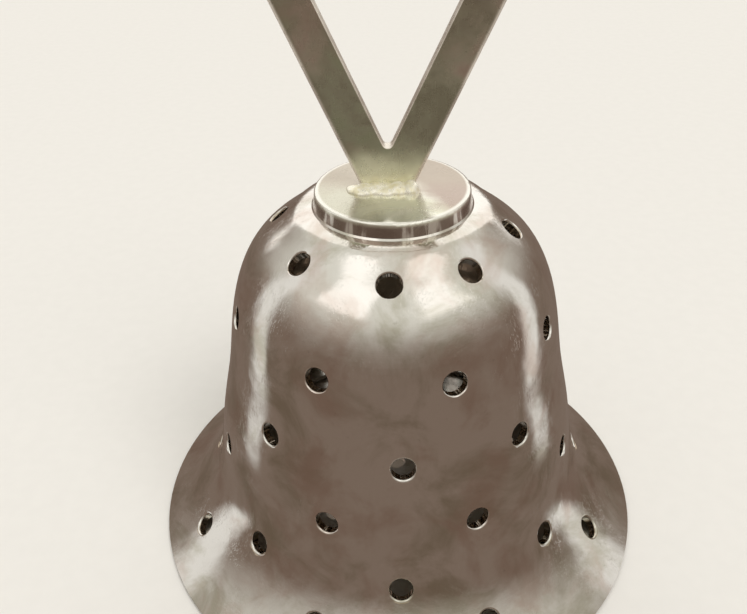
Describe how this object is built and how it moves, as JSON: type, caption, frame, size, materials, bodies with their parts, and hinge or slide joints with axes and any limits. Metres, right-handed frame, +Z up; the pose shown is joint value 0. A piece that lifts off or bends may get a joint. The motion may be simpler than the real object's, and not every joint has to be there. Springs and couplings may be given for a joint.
{
  "type": "bell-shaped leaf strainer",
  "caption": "Bell-shaped strainer: perforated flared bell with a flat loop handle soldered to a crown disc and a hinged perforated lid in its mouth.",
  "frame": {"origin": "on the bell's axis, in the plane of the flat rim it stands on", "axes": "+Z up along the bell's axis to the handle; the thumb tab is at the front, -Y, and the hinge at the back, +Y; the loop of the handle lies in the XZ plane"},
  "size_m": [0.045, 0.0448, 0.0678],
  "materials": {
    "silver_plate": "silver plate over a copper alloy, polished, aged and lightly tarnished",
    "disc_silver_plate": "silver plate over a copper alloy, polished, slightly yellowed",
    "handle_silver_plate": "silver plate over a copper alloy, tarnished olive grey, edges worn bright",
    "ring_silver_plate": "silver plate over a copper alloy, satin",
    "lid_silver_plate": "silver plate over a copper alloy, brushed and tarnished",
    "hinge_silver_plate": "silver plate over a copper alloy, satin",
    "pin_brass": "bare drawn wire",
    "solder": "hard silver solder, lumpy and bright"
  },
  "bodies": {
    "bell": {"bell_shell": "silver_plate", "crown_disc": "disc_silver_plate", "crown_solder_seam": "solder", "handle_loop": "handle_silver_plate", "handle_solder_front": "solder", "handle_solder_back": "solder", "mouth_ring": "ring_silver_plate", "hinge_knuckles": "hinge_silver_plate", "hinge_pin": "pin_brass"},
    "lid": {"base_lid": "lid_silver_plate", "lid_hinge_leaf": "hinge_silver_plate", "lid_thumb_tab": "hinge_silver_plate"}
  },
  "joints": [
    {"name": "lid_hinge", "type": "hinge", "parent": "bell", "child": "lid", "pos_m": [0, 0.01905, 0.00085], "axis": [1, 0, 0], "range_deg": [0, 115]}
  ]
}
